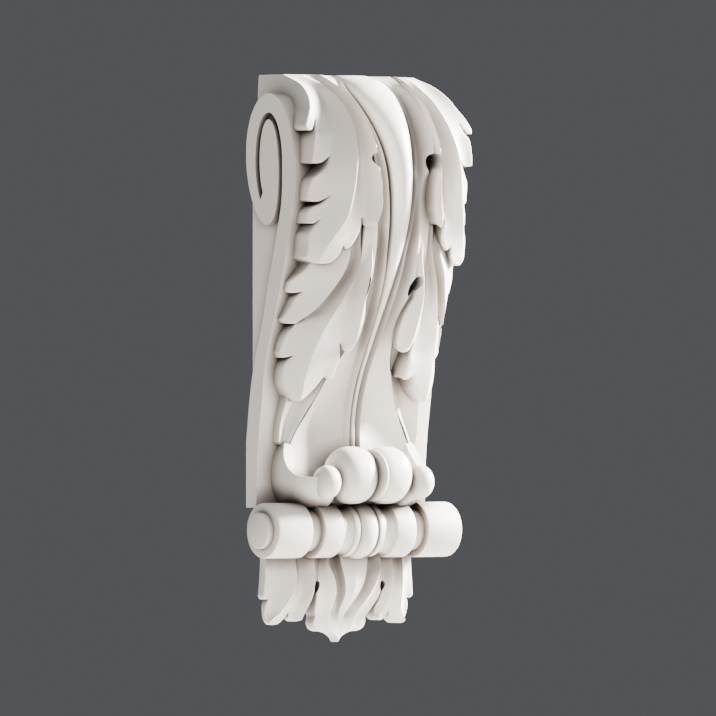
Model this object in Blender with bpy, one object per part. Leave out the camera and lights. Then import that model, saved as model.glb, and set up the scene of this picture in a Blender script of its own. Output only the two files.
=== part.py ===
import bpy
import bmesh
import numpy as np

# Main sizes, in metres
HEIGHT = 0.395
BODY_WIDTH = 0.147
PROJECTION = 0.0928
SIDE_RECESS = 0.0057
ROLL_DIAMETER = 0.0385
ROLL_LENGTH = 0.1594
END_DISC_DIAMETER = 0.0252
END_DISC_LENGTH = 0.0047

# The carving is drawn in shares of those sizes: the height is 564 steps, half the body width 105
# steps and the projection 132.5 steps. across = steps from the middle, down = steps from the top,
# out = steps from the wall.
STEPS_HIGH = 564.0
STEPS_HALF_WIDE = 105.0
STEPS_OUT = 132.5
ACROSS = BODY_WIDTH / 2 / STEPS_HALF_WIDE
OUT = PROJECTION / STEPS_OUT
DOWN = HEIGHT / STEPS_HIGH
TOP_STEP = 77.0
MID_STEP = TOP_STEP + STEPS_HIGH / 2

# Every lump reaches back past the wall plane, each by a little more, and is then cut off there
BACK_STEP = -2.0
BACK_STAGGER = 0.6
CORE_HALF = STEPS_HALF_WIDE - SIDE_RECESS / ACROSS
LEAF_HALF_AT_WALL = 92.0
LEAF_HALF_AT_TOP = 83.0

# Where the console ends at the wall, the two blocks that tie the leaf to the wall at its head
# and its foot, and how far the cuts reach past the part
CONSOLE_TOP = 180.0
CONSOLE_FOOT = 512.0
HEAD_HALF = 88.0
HEAD_OUT = 22.0
HEAD_FROM = 60.0
HEAD_TO = 150.0
FOOT_HALF = 84.0
FOOT_OUT = 7.0
FOOT_FROM = 495.0
FOOT_TO = 589.0
BLOCK_BACK = -40.0
CUT_HALF = 130.0
CUT_BACK = -90.0
CUT_OUT = 150.0
CUT_ABOVE = 20.0
CUT_BELOW = 700.0
CUT_PAST = 9.0

# Middle rib: down, half width, out
RIB = np.array([
    [70, 21, 22], [82, 22, 51], [98, 25, 75], [112, 24, 90], [130, 22, 103.5], [147, 20, 110.5],
    [172, 15.6, 119], [210, 12.8, 121], [240, 10.2, 118], [275, 9, 103], [299, 7.8, 93],
    [327, 6, 78], [355, 5, 62], [400, 4, 44], [430, 4.6, 39], [456, 4.8, 39]])
RIB_ROUND = 5.0

# Hollow beside the rib: down, out
HOLLOW = np.array([
    [70, 18], [82, 43], [98, 66], [112, 82], [130, 95], [150, 103], [172, 110], [192, 114],
    [220, 110], [250, 101], [285, 92], [320, 80], [345, 69], [365, 56], [385, 47], [404, 40],
    [421, 34], [440, 30], [470, 30]])
HOLLOW_HALF = np.array([[70, 60], [240, 60], [330, 45], [380, 42], [404, 54], [421, 63],
                        [440, 70], [470, 84]])
HOLLOW_RIM = np.array([[70, 0], [360, 0], [395, 5], [440, 6], [470, 8]])

# Front face of the S-shaped ribbon and its back edge: down, out
RIBBON_FRONT = np.array([
    [160, 79.5], [190, 79.3], [215, 76], [230, 71.6], [264, 64.5], [287, 57.7], [320, 46],
    [366, 31.1], [400, 26.5], [433, 21.3], [466, 18], [505, 17]])
RIBBON_BACK = np.array([
    [190, 60.2], [207, 58.5], [226, 54], [241, 49.8], [264, 43.5], [287, 36.2], [320, 27.9],
    [366, 12.8], [400, 5.6], [425, 2.2], [450, -1]])

# Volute: centre (out, down), then the reach sideways and up or down at each quarter turn, for the
# outer edge of the ribbon and for the far side of the groove
VOLUTE_CENTRE = (37.0, 163.0)
EDGE_SIDE = [42.5, 37.0, 16.7, 14.5]
EDGE_TALL = [66.5, 63.6, 40.5, 41.0]
GROOVE_SIDE = [23.2, 21.7]
GROOVE_TALL = [47.6, 50.0]
EDGE_END_TURN = 590
GROOVE_END_TURN = 232

# Surface of the upper leaf: down, out at the rib, out near the thumb, out at the outer edge
LEAF_UPPER = np.array([
    [70, 18, 18, 8], [79, 44, 42, 33], [85, 54, 55, 56], [97, 72, 73, 75], [110, 88, 88, 86],
    [130, 103, 106, 97.4], [150, 111, 118, 101], [169, 118, 125, 102.5], [198, 121, 128, 98.8],
    [225, 119, 127, 96.5], [241, 117, 121, 96.5], [265, 108, 114, 92]])
LEAF_LOWER = np.array([
    [225, 108, 110, 84], [250, 106, 110, 82], [277, 102, 106, 75], [285, 99, 103, 71.5],
    [319, 83, 92, 59.4], [354, 64, 77, 50], [378, 53, 65, 47], [402, 45, 54, 45]])
LEAF_POCKET = np.array([
    [370, 40, 42, 46], [400, 38, 40, 44], [420, 34, 34, 38.5], [446, 28, 27, 33]])
PENDANT = np.array([
    [520, 32, 27, 8], [545, 35, 32, 9], [560, 36.5, 34.5, 9.5], [578, 38.5, 36, 10],
    [590, 36, 33, 10], [600, 29, 27, 10], [612, 18.5, 18, 9.5], [625, 13.5, 13, 9], [643, 12, 10, 8]])

# Each leaf is a fan of fingers. A ridge is drawn from its root to the notch between two lobes;
# a lobe is drawn from one notch to the next. Pairs are (across, down).
UPPER_RIDGES = [
    [(83, 70), (83, 85), (87, 97), (92, 110), (97, 118), (102, 125)],
    [(80, 70), (79, 97), (84, 113), (88, 124)],
    [(75, 70), (69, 97), (74, 124), (80, 148), (84, 161)],
    [(71, 70), (64, 97), (68, 124), (75, 160), (83, 188), (87, 201)],
    [(68, 70), (60, 97), (62, 124), (70, 165), (83, 208), (90, 224)],
    [(58, 70), (52, 97), (53, 124), (57, 160), (61, 205), (65, 249)],
    [(48, 70), (42, 97), (41, 124), (44, 155), (48, 190), (51, 221)],
    [(42, 70), (36, 97), (33, 121), (33, 149), (38, 157), (39, 171)]]
UPPER_LOBES = [
    [(103, 129), (99, 131), (92, 128)],
    [(95, 133), (97, 146), (98, 164), (91, 165)],
    [(86, 168), (93, 178), (97, 190), (97, 200), (91, 204)],
    [(94, 209), (97.5, 217), (96, 224.5)],
    [(94, 229), (96.5, 238), (95, 259), (86, 264.5), (74, 261.5)],
    [(61, 250), (55.5, 246), (51.5, 238), (50.5, 229)],
    [(44, 227.5), (37, 220), (33.5, 208), (33, 193), (36.5, 178)]]
UPPER_TIPS = [0.3, 0.6, 0.72, 0.5, 0.6, 0.35, 0.2]
UPPER_CRESTS = [3, 4, 2, 2, 6, 4, 4]

LOWER_RIDGES = [
    [(84, 225), (86, 245), (88, 262)],
    [(74, 225), (81, 262), (92, 294)],
    [(60, 225), (62, 262), (72, 296), (83, 319)],
    [(56, 225), (58, 262), (68, 305), (80, 338), (88, 356)],
    [(50, 225), (52, 267), (64, 307), (74, 348), (78, 400)],
    [(45, 225), (45, 275), (50, 320), (53, 350), (55, 376)],
    [(40, 225), (38, 262), (42, 300), (46, 330), (46, 345)],
    [(34, 225), (29, 262), (27, 278), (31, 284), (31, 296)]]
LOWER_LOBES = [
    [(93, 276), (99.5, 284), (98, 290)],
    [(95, 298), (96, 308), (99.5, 319), (95, 324), (88, 323)],
    [(93, 326), (97, 338), (98.5, 351), (94, 358)],
    [(92, 361), (95, 372), (91, 388), (84, 396)],
    [(70, 396), (61, 386)],
    [(52, 379), (45.5, 378), (43, 367), (43, 355)],
    [(38, 351.5), (30, 351), (24.5, 342), (22.6, 330), (24, 316)]]
LOWER_TIPS = [0.6, 0.65, 0.6, 1, 0, 0.4, 0.2]
LOWER_CRESTS = [2, 4, 2, 4, 3, 3, 3]

POCKET_RIDGES = [
    [(90, 378), (94, 400), (98, 418), (99, 433)],
    [(62, 378), (56, 404), (63, 421), (70, 437)]]
POCKET_LOBES = [[(98.5, 442), (92, 445), (80, 443.5)]]
POCKET_TIPS = [0.2]
POCKET_CRESTS = [-5]

PENDANT_RIDGES = [
    [(90, 520), (90, 560), (91, 580), (90, 592)],
    [(78, 520), (77, 570), (82, 590), (86, 598)],
    [(60, 520), (60, 575), (62, 600), (66, 613)],
    [(44, 520), (40, 560), (36, 578), (31, 588)]]
PENDANT_LOBES = [
    [(91, 596), (88, 597.5)],
    [(87, 608), (84, 620), (76, 623.5), (68, 619)],
    [(58, 621), (48, 620), (41, 612), (36, 600)]]
PENDANT_TIPS = [0.5, 0.6, 0.4]
PENDANT_CRESTS = [2, 3, 3]

# Middle lobe of the pendant and the raised tongue on it: down, half width, out
PENDANT_MIDDLE = [(36, 517), (34, 560), (30, 600), (29, 616)]
PENDANT_MIDDLE_LOBE = [(30, 624), (25, 632), (14, 634), (6, 637)]
TONGUE = np.array([[515, 20, 36], [557, 18, 39], [577, 13, 41.5], [590, 9.4, 39], [600, 7, 32],
                   [612, 4.6, 21], [619, 3, 15], [636, 3, 12]])
TONGUE_ROUND = 3.0

# Curled tip: the bowl (half width, out at the lip, top and bottom steps), balls, hooks and the
# crescent between the balls, each as centre and reach (across, out, down)
BOWL_HALF = 101.0
BOWL_OUT = 80.0
BOWL_END_OUT = 17.0
BOWL_TOP = 474.0
BOWL_BOTTOM = 512.0
BALL_CENTRE = (21.0, 62.0, 475.0)
BALL_REACH = (25.0, 26.0, 29.0)
HOOK_CENTRE = (57.4, 69.0, 482.0)
HOOK_REACH = (13.0, 17.0, 17.0)
CRESCENT_REACH = (4.5, 29.0, 26.0)

# Turned roll: distance from the middle and radius, as shares of half the length and the radius
ROLL_STEP = 529.6
ROLL_OUT_STEP = 40.0
ROLL_TURNING = [(0.0, 1.04), (0.06, 1.0), (0.1, 0.86), (0.12, 0.97), (0.16, 0.97),
                (0.2, 0.8), (0.26, 0.8), (0.289, 1.0), (0.498, 1.0), (0.502, 0.76),
                (0.625, 0.76), (0.629, 1.0), (0.985, 1.0), (1.0, 0.97)]

# Fingers: how far each laps over the one before, where its crest lies across it, how deep its
# valleys are as a share of the crest, and how late its rounded tip swells out
RIDGE_LAP = 1.6
ROOT_STAGGER = 0.4
CREST_AT = 0.78
VALLEY_SHARE = 0.5
LOBE_SWELL = 8
LEAF_EDGE_STEP = 97.0
FOOT_SHARE = 0.95
THUMB_SHARE = 0.46

# How finely the curves are cut into facets
FINGER_STEPS = [0, 0.35, 0.78, 1]
ALONG_LEAF = 9
ROUND_FACETS = 24

CREAM = (0.80, 0.77, 0.73, 1.0)


def smooth(at, table, column=1):
    """Cubic through the rows of a table (first column against another), flat beyond its ends."""
    table = np.asarray(table, float)
    x, y = table[:, 0], table[:, column]
    slope = np.diff(y) / np.diff(x)
    tangent = np.concatenate(([slope[0]], (slope[1:] + slope[:-1]) / 2, [slope[-1]]))
    tangent[1:-1] = np.where(slope[1:] * slope[:-1] <= 0, 0, tangent[1:-1])
    at = np.clip(np.asarray(at, float), x[0], x[-1])
    i = np.clip(np.searchsorted(x, at) - 1, 0, len(x) - 2)
    h = x[i + 1] - x[i]
    t = (at - x[i]) / h
    return ((2 * t**3 - 3 * t**2 + 1) * y[i] + (t**3 - 2 * t**2 + t) * h * tangent[i]
            + (3 * t**2 - 2 * t**3) * y[i + 1] + (t**3 - t**2) * h * tangent[i + 1])


def curve(points, t):
    """Points at shares t of the length of a smooth line through the given points."""
    points = np.asarray(points, float)
    run = np.concatenate(([0], np.cumsum(np.hypot(*np.diff(points, axis=0).T))))
    run /= run[-1]
    return np.stack([smooth(t, np.stack([run, points[:, k]], 1)) for k in (0, 1)], -1)


def place(across, out, down):
    """Turns steps into metres: right is +X, the wall is the plane Y = 0, up is +Z."""
    across, out, down = np.broadcast_arrays(across, out, down)
    return np.stack([across * ACROSS, -out * OUT, (MID_STEP - down) * DOWN], -1)


def grid_faces(rows, cols, start=0, close=False):
    """Quads of a grid of rows by cols vertices, numbered row by row."""
    i, j = np.meshgrid(np.arange(rows - 1), np.arange(cols if close else cols - 1), indexing="ij")
    k = (j + 1) % cols
    a = start + i * cols
    return np.stack([a + j, a + k, a + cols + k, a + cols + j], -1).reshape(-1, 4).tolist()


def make(name, points, faces):
    """A mesh object whose normals all face outward."""
    mesh = bpy.data.meshes.new(name)
    mesh.from_pydata(np.asarray(points).reshape(-1, 3).tolist(), [], faces)
    work = bmesh.new()
    work.from_mesh(mesh)
    bmesh.ops.remove_doubles(work, verts=work.verts, dist=1e-7)
    bmesh.ops.recalc_face_normals(work, faces=work.faces)
    work.to_mesh(mesh)
    work.free()
    obj = bpy.data.objects.new(name, mesh)
    bpy.context.collection.objects.link(obj)
    return obj


def lump(name, front, back):
    """Closed solid between two grids of the same shape, with walls around their rim."""
    rows, cols = front.shape[:2]
    n = rows * cols
    ring = ([(0, j) for j in range(cols)] + [(i, cols - 1) for i in range(1, rows)]
            + [(rows - 1, j) for j in range(cols - 2, -1, -1)]
            + [(i, 0) for i in range(rows - 2, 0, -1)])
    ids = [i * cols + j for i, j in ring]
    walls = [[a, b, b + n, a + n] for a, b in zip(ids, ids[1:] + ids[:1])]
    faces = grid_faces(rows, cols) + [f[::-1] for f in grid_faces(rows, cols, n)] + walls
    return make(name, np.concatenate([front.reshape(-1, 3), back.reshape(-1, 3)]), faces)


def finger(ridge, lobe, next_ridge, tip, stagger=0.0):
    """Flat drawing of one finger as a grid: its two sides run from the root round the lobe and
    meet at the tip, which lies at a share of the lobe's length."""
    lap = np.array([RIDGE_LAP, 0])
    left, right = np.array(ridge, float) + lap, np.array(next_ridge, float)
    left[0, 1] -= stagger
    right[0, 1] -= stagger
    outline = np.concatenate([left, np.array(lobe, float), right[::-1]])
    run = np.concatenate([[0], np.cumsum(np.hypot(*np.diff(outline, axis=0).T))]) 
    notch, far_notch = run[len(left) - 1], run[-len(right)]
    ends = notch + (far_notch - notch) * np.clip([tip - 0.1, tip + 0.1], 0, 1)
    t = (1 - (1 - np.linspace(0, 1, ALONG_LEAF + 1)) ** 1.5)[:, None]
    s = np.array(FINGER_STEPS)[None]
    total = run[-1]
    near = curve(outline, t[:, 0] * ends[0] / total)
    far = curve(outline, 1 - t[:, 0] * (total - ends[1]) / total)
    end = curve(outline, (ends[0] + s[0] * (ends[1] - ends[0])) / total)
    swell = end - (near[-1] + s[0][:, None] * (far[-1] - near[-1]))
    flat = (near[:, None] + s[..., None] * (far - near)[:, None]
            + t[..., None] ** LOBE_SWELL * swell[None])
    return flat, s + 0 * t, t + 0 * s


def back_step(order):
    """Where the back of one lump lies, so that no two backs share a plane."""
    return BACK_STEP - BACK_STAGGER * order


def leaf(name, side, ridges, lobes, tips, crests, surface, order, flare=0.0):
    """Fan of fingers that lap over each other. They stand out from the wall by the surface table;
    across each one the face climbs from a valley to its crest and falls to the next valley."""
    pieces = []
    for k, lobe in enumerate(lobes):
        flat, s, t = finger(ridges[k], lobe, ridges[k + 1], tips[k], ROOT_STAGGER * k)
        across, down = flat[..., 0], flat[..., 1]
        share = np.abs(across) / LEAF_EDGE_STEP
        rib, thumb, edge = (smooth(down, surface, c) for c in (1, 2, 3))
        bow = ((thumb - rib) - THUMB_SHARE**2 * (edge - rib)) / (THUMB_SHARE - THUMB_SHARE**2)
        valley = -VALLEY_SHARE * crests[k]
        climb = smooth(s, [[0, valley], [0.3, valley / 2], [CREST_AT, crests[k]], [1, valley]])
        fade = np.clip(np.minimum(t * 4, (1 - t) * 4 + 0.2), 0, 1)
        out = rib + bow * share + (edge - rib - bow) * share**2 + climb * fade
        foot = across * FOOT_SHARE
        foot += flare * np.clip((110 - down) / 30, 0, 1) * np.clip(share * 8 - 6.4, 0, 1)
        pieces.append(lump(f"{name}_{k}", place(side * across, out, down),
                           place(side * foot, back_step(order + k), down)))
    return pieces


def prism(name, outline, x_from, x_to):
    """Solid with the given outline (out, down) between two distances across."""
    outline = np.asarray(outline, float)
    n = len(outline)
    points = np.concatenate([place(x, outline[:, 0], outline[:, 1]) for x in (x_from, x_to)])
    faces = [list(range(n)), list(range(2 * n - 1, n - 1, -1))]
    faces += [[i, (i + 1) % n, (i + 1) % n + n, i + n] for i in range(n)]
    return make(name, points, faces)


def volute(side_reach, tall_reach, first, last, count):
    """Spiral whose reach is eased from one quarter turn to the next; angles in degrees."""
    turn = np.linspace(first, last, count)
    a = smooth(turn, np.stack([180.0 * np.arange(len(side_reach)), side_reach], 1))
    b = smooth(turn, np.stack([90 + 180.0 * np.arange(len(tall_reach)), tall_reach], 1))
    angle = np.radians(turn)
    return np.stack([VOLUTE_CENTRE[0] + a * np.cos(angle), VOLUTE_CENTRE[1] - b * np.sin(angle)], 1)


def ellipsoid(name, centre, reach, rings=9, facets=14):
    """Ball with a separate reach across, out and down."""
    lat = np.linspace(0, np.pi, rings + 1)[:, None]
    lon = np.linspace(0, 2 * np.pi, facets, endpoint=False)[None]
    grid = place(centre[0] + reach[0] * np.cos(lat) + 0 * lon,
                 centre[1] + reach[1] * np.sin(lat) * np.cos(lon),
                 centre[2] + reach[2] * np.sin(lat) * np.sin(lon))
    return make(name, grid, grid_faces(rings + 1, facets, close=True))


def turned(name, turning, half_length, radius, out, down):
    """Solid of revolution along X, mirrored about the middle."""
    profile = np.array(turning)
    profile = np.concatenate([profile[:0:-1] * [-1, 1], profile]) * [half_length, radius]
    profile = np.concatenate([[[profile[0, 0], 0]], profile, [[profile[-1, 0], 0]]])
    angle = np.linspace(0, 2 * np.pi, ROUND_FACETS, endpoint=False)[None]
    centre = place(0, out, down)
    grid = np.stack([profile[:, :1] + 0 * angle, centre[1] + profile[:, 1:] * np.cos(angle),
                     centre[2] + profile[:, 1:] * np.sin(angle)], -1)
    return make(name, grid, grid_faces(len(profile), ROUND_FACETS, close=True))


def combine(target, other, operation="UNION"):
    """Boolean of two objects; the second is removed."""
    bool_mod = target.modifiers.new(operation.lower(), "BOOLEAN")
    bool_mod.operation = operation
    bool_mod.object = other
    bool_mod.solver = "MANIFOLD"
    bpy.context.view_layer.update()
    evaluated = target.evaluated_get(bpy.context.evaluated_depsgraph_get())
    mesh = bpy.data.meshes.new_from_object(evaluated)
    target.modifiers.clear()
    old = target.data
    target.data = mesh
    bpy.data.meshes.remove(old)
    bpy.data.objects.remove(other, do_unlink=True)
    return target


def drop_crumbs(obj):
    """Removes the tiny splinters that two crossing faces can leave beside the body."""
    work = bmesh.new()
    work.from_mesh(obj.data)
    left, islands = set(work.verts), []
    while left:
        island, edge = set(), {left.pop()}
        while edge:
            island |= edge
            edge = {e.other_vert(v) for v in edge for e in v.link_edges} - island
        left -= island
        islands.append(island)
    islands.sort(key=len)
    for island in islands[:-1]:
        bmesh.ops.delete(work, geom=list(island), context="VERTS")
    work.to_mesh(obj.data)
    work.free()


def body_outline(down_to):
    """Front of the ribbon from its foot up and over the top of the volute."""
    down = np.linspace(RIBBON_FRONT[0, 0], down_to, 22)[:0:-1]
    front = np.stack([smooth(down, RIBBON_FRONT), down], 1)
    return front, volute(EDGE_SIDE, EDGE_TALL, 0, 180, 17)


def side_pocket(name, side):
    """What is cut from a side: the spiral groove and the recess behind the ribbon."""
    groove = volute(GROOVE_SIDE, GROOVE_TALL, 0, GROOVE_END_TURN, 18)
    scroll = volute(EDGE_SIDE, EDGE_TALL, 195, EDGE_END_TURN, 30)[::-1]
    down = np.linspace(RIBBON_BACK[0, 0], RIBBON_BACK[-1, 0], 18)[::-1]
    back = np.stack([smooth(down, RIBBON_BACK), down], 1)
    outline = np.concatenate([[[-CUT_PAST, RIBBON_BACK[-1, 0]]], back, groove, scroll,
                              [[-CUT_PAST, scroll[-1, 1]]]])
    return prism(name, outline, side * CORE_HALF, side * (STEPS_HALF_WIDE + CUT_PAST))


def core(name):
    """Body over the full width, from the wall to the ribbon's front."""
    front, over = body_outline(CONSOLE_FOOT)
    outline = np.concatenate([front, over, [[back_step(2), CONSOLE_TOP],
                                            [back_step(2), CONSOLE_FOOT]]])
    return prism(name, outline, -STEPS_HALF_WIDE, STEPS_HALF_WIDE)


def band(name, table, roundness, order):
    """Rounded band down the middle that follows a table of half width and distance out."""
    down = np.linspace(table[0, 0], table[-1, 0], 17)[:, None]
    s = np.array([-1, -0.7, -0.25, 0.25, 0.7, 1])[None]
    across = s * smooth(down, table)
    out = smooth(down, table, 2) - roundness * s**4
    return lump(name, place(across, out, down), place(across, back_step(order), down))


def hollow(name):
    """Floor of the leaf between its rib and its rims."""
    down = np.linspace(HOLLOW[0, 0], HOLLOW[-1, 0], 15)[:, None]
    s = np.array([-1, -0.85, -0.6, -0.25, 0.25, 0.6, 0.85, 1])[None]
    across = s * smooth(down, HOLLOW_HALF)
    out = smooth(down, HOLLOW) + smooth(down, HOLLOW_RIM) * s**4
    return lump(name, place(across, out, down), place(across, back_step(1), down))


def bowl(name):
    """Curled end of the leaf: its lip stands out by a squared-off arc across the width."""
    s = np.sin(np.linspace(-np.pi / 2, np.pi / 2, 16))[:, None]
    across = s * BOWL_HALF
    lip = BOWL_END_OUT + (BOWL_OUT - BOWL_END_OUT) * (1 - np.abs(s) ** 4) ** 0.25
    angle = np.radians(np.linspace(-90, 90, 8))[None]
    half_tall = (BOWL_BOTTOM - BOWL_TOP) / 2
    out = lip * np.cos(angle) ** 0.5
    down = (BOWL_TOP + BOWL_BOTTOM) / 2 + half_tall * np.sin(angle) + 0 * s
    return lump(name, place(across + 0 * out, out, down),
                place(across + 0 * out, back_step(2), down))


def block(name, x, out, down):
    """Box from pairs of limits in steps."""
    corners = [[out[0], down[0]], [out[1], down[0]], [out[1], down[1]], [out[0], down[1]]]
    return prism(name, corners, x[0], x[1])


def pendant_middle(name, order):
    """Middle lobe of the pendant, drawn as one finger across the middle."""
    mirror = [(-x, down) for x, down in PENDANT_MIDDLE]
    lobe = [*PENDANT_MIDDLE_LOBE, (0, TOP_STEP + STEPS_HIGH)]
    lobe += [(-x, down) for x, down in PENDANT_MIDDLE_LOBE[::-1]]
    flat, s, t = finger(PENDANT_MIDDLE, lobe, mirror, 0.5)
    across, down = flat[..., 0] - RIDGE_LAP * (1 - s) * 0.5, flat[..., 1]
    out = smooth(down, PENDANT) - 2 * np.abs(2 * s - 1)
    return lump(name, place(across, out, down), place(across, back_step(order), down))


def build():
    body = core("corbel")
    for side in (-1, 1):
        combine(body, side_pocket("pocket", side), "DIFFERENCE")
    pieces = [block("head", (-HEAD_HALF, HEAD_HALF), (BLOCK_BACK, HEAD_OUT), (HEAD_FROM, HEAD_TO)),
              block("foot", (-FOOT_HALF, FOOT_HALF), (BLOCK_BACK - 1, FOOT_OUT),
                    (FOOT_FROM, FOOT_TO)),
              band("rib", RIB, RIB_ROUND, 3), hollow("hollow"), bowl("bowl"),
              ellipsoid("crescent", (0, BALL_CENTRE[1], BALL_CENTRE[2]), CRESCENT_REACH),
              pendant_middle("pendant_middle", 4), band("tongue", TONGUE, TONGUE_ROUND, 5)]
    for side in (-1, 1):
        order = 8 if side < 0 else 30
        pieces += leaf("upper", side, UPPER_RIDGES, UPPER_LOBES, UPPER_TIPS, UPPER_CRESTS,
                       LEAF_UPPER, order, LEAF_HALF_AT_WALL - LEAF_HALF_AT_TOP)
        pieces += leaf("lower", side, LOWER_RIDGES, LOWER_LOBES, LOWER_TIPS, LOWER_CRESTS,
                       LEAF_LOWER, order + 7)
        pieces += leaf("pocket", side, POCKET_RIDGES, POCKET_LOBES, POCKET_TIPS,
                       POCKET_CRESTS, LEAF_POCKET, order + 14)
        pieces += leaf("pendant", side, PENDANT_RIDGES, PENDANT_LOBES, PENDANT_TIPS,
                       PENDANT_CRESTS, PENDANT, order + 15)
        pieces.append(ellipsoid("ball", (side * BALL_CENTRE[0], *BALL_CENTRE[1:]), BALL_REACH))
        pieces.append(ellipsoid("hook", (side * HOOK_CENTRE[0], *HOOK_CENTRE[1:]), HOOK_REACH))
    pieces.append(turned("roll", ROLL_TURNING, ROLL_LENGTH / 2, ROLL_DIAMETER / 2,
                         ROLL_OUT_STEP, ROLL_STEP))
    pieces.append(turned("discs", [(0, 1), (0.96, 1), (1, 0.88)],
                         ROLL_LENGTH / 2 + END_DISC_LENGTH, END_DISC_DIAMETER / 2,
                         ROLL_OUT_STEP, ROLL_STEP))
    for piece in pieces:
        combine(body, piece)
    combine(body, block("above", (-CUT_HALF, CUT_HALF), (CUT_BACK, CUT_OUT),
                        (CUT_ABOVE, TOP_STEP)), "DIFFERENCE")
    combine(body, block("behind", (-CUT_HALF, CUT_HALF), (CUT_BACK, 0),
                        (CUT_ABOVE - 10, CUT_BELOW)), "DIFFERENCE")
    drop_crumbs(body)
    return body


def paint(obj):
    """Cast plaster with a satin cream coat."""
    material = bpy.data.materials.new("coated_plaster")
    material.use_nodes = True
    shader = material.node_tree.nodes["Principled BSDF"]
    shader.inputs["Base Color"].default_value = CREAM
    shader.inputs["Roughness"].default_value = 0.45
    obj.data.materials.clear()
    obj.data.materials.append(material)


for old in list(bpy.data.objects):
    bpy.data.objects.remove(old, do_unlink=True)
paint(build())
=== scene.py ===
"""Carved acanthus corbel: the dressed model of a shelf bracket cast in plaster.

The relief is drawn as it is seen from the front, in steps of 0.7 mm: across from the middle,
out from the wall and down from above the top, which lies at TOP_STEP.
"""

import bmesh
import bpy
import numpy as np
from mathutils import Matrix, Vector
from mathutils.geometry import delaunay_2d_cdt


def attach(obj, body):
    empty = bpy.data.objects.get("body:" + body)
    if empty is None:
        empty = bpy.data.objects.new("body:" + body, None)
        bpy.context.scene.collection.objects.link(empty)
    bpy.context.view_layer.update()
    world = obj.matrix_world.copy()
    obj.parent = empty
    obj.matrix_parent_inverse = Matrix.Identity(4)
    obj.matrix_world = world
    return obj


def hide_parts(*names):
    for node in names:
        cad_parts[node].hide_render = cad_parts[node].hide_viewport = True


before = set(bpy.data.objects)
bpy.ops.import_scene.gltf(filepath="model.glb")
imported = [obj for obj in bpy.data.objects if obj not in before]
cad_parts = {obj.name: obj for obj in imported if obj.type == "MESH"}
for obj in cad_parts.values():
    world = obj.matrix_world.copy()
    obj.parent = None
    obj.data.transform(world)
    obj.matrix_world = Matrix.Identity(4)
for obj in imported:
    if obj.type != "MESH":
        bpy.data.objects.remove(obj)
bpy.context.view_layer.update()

bl_info = {
    "name": "Carved Corbel",
    "version": (1, 0, 0),
    "blender": (4, 5, 0),
    "location": "View3D > Sidebar > Corbel",
    "description": "Plaster corbel with a carved acanthus leaf, volutes and a turned roll",
    "category": "Add Mesh",
}

# One step is 0.7 mm: the height, half the width and the projection in steps
STEPS_HIGH = 564.0
STEPS_HALF_WIDE = 105.0
STEPS_OUT = 132.5
TOP_STEP = 77.0
MID_STEP = 359.0

# Front face of the S-shaped ribbon and its back edge: down, out
RIBBON_FRONT = np.array([
    [160, 79.5], [190, 79.3], [215, 76], [230, 71.6], [264, 64.5], [287, 57.7], [320, 46],
    [366, 31.1], [400, 26.5], [433, 21.3], [466, 18], [505, 17]])
RIBBON_BACK = np.array([
    [190, 60.2], [207, 58.5], [226, 54], [241, 49.8], [264, 43.5], [287, 36.2], [320, 27.9],
    [366, 12.8], [400, 5.6], [425, 2.2], [450, -1]])

# Volute: centre (out, down), then the reach sideways and up or down at each quarter turn, for the
# outer edge of the ribbon and for the far side of the groove
VOLUTE_CENTRE = (37.0, 163.0)
EDGE_SIDE = [42.5, 37.0, 16.7, 14.5]
EDGE_TALL = [66.5, 63.6, 40.5, 41.0]
GROOVE_SIDE = [23.2, 21.7]
GROOVE_TALL = [47.6, 50.0]
EDGE_END_TURN = 590
GROOVE_END_TURN = 232
SCROLL_FROM_TURN = 182

# Foot of the console, where its back begins (out, down), and the block behind the roll
CONSOLE_FOOT = 507.0
CONSOLE_BACK = (-3.0, 180.0)
FOOT_BLOCK_HALF = 84.0
FOOT_BLOCK_FRONT = 7.0
FOOT_BLOCK_DOWN = (495.0, 589.0)

# Middle of the leaf. Each line runs down the leaf, as rows of down, across and out; the face
# passes through all of them. From the middle: rib, its edge, the thin ridge beside it, the
# crease at the ridge's foot and the margin, which below becomes the edge of the long channel.
RIB_MIDDLE = np.array([
    [70, 0, 24], [77, 0, 45], [82, 0, 62], [93, 0, 79.5], [109, 0, 97.5], [129, 0, 112.5],
    [149, 0, 121.5], [172, 0, 126.5], [195, 0, 127], [215, 0, 124], [235, 0, 119], [250, 0, 113],
    [275, 0, 102.5], [299, 0, 91], [327, 0, 76], [355, 0, 61], [375, 0, 51], [400, 0, 42],
    [425, 0, 38], [450, 0, 38], [500, 0, 38]])
RIB_EDGE = np.array([
    [70, 16, 10], [77, 20.5, 29], [82, 23.3, 46], [93, 26.5, 62.5], [109, 24.4, 80],
    [129, 20.8, 95], [149, 17.3, 105], [172, 14.4, 111], [195, 12.8, 113.4], [215, 11.6, 113],
    [235, 10.2, 109.6], [250, 9, 106], [275, 7.2, 97.4], [299, 5.8, 86.4], [327, 4.4, 72.6],
    [355, 3.6, 57.8], [375, 3.4, 47.8], [400, 3.4, 39], [425, 3.4, 35], [450, 3.4, 35],
    [500, 3.4, 35]])
THIN_RIDGE = np.array([
    [70, 18, 13], [77, 22, 33], [82, 25, 50], [93, 28.6, 66.5], [109, 27.2, 84.4],
    [129, 23.8, 100], [149, 21, 110.8], [172, 18.4, 117], [195, 16.6, 118.6], [215, 15.2, 117.6],
    [235, 13.6, 114], [250, 12.2, 110], [275, 10.4, 103.6], [299, 9, 93.8], [327, 7.6, 79.8],
    [355, 6.8, 64], [375, 6.6, 53.6], [400, 6.6, 44.4], [425, 6.6, 40], [450, 6.6, 39.6],
    [500, 6.6, 39.6]])
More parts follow.
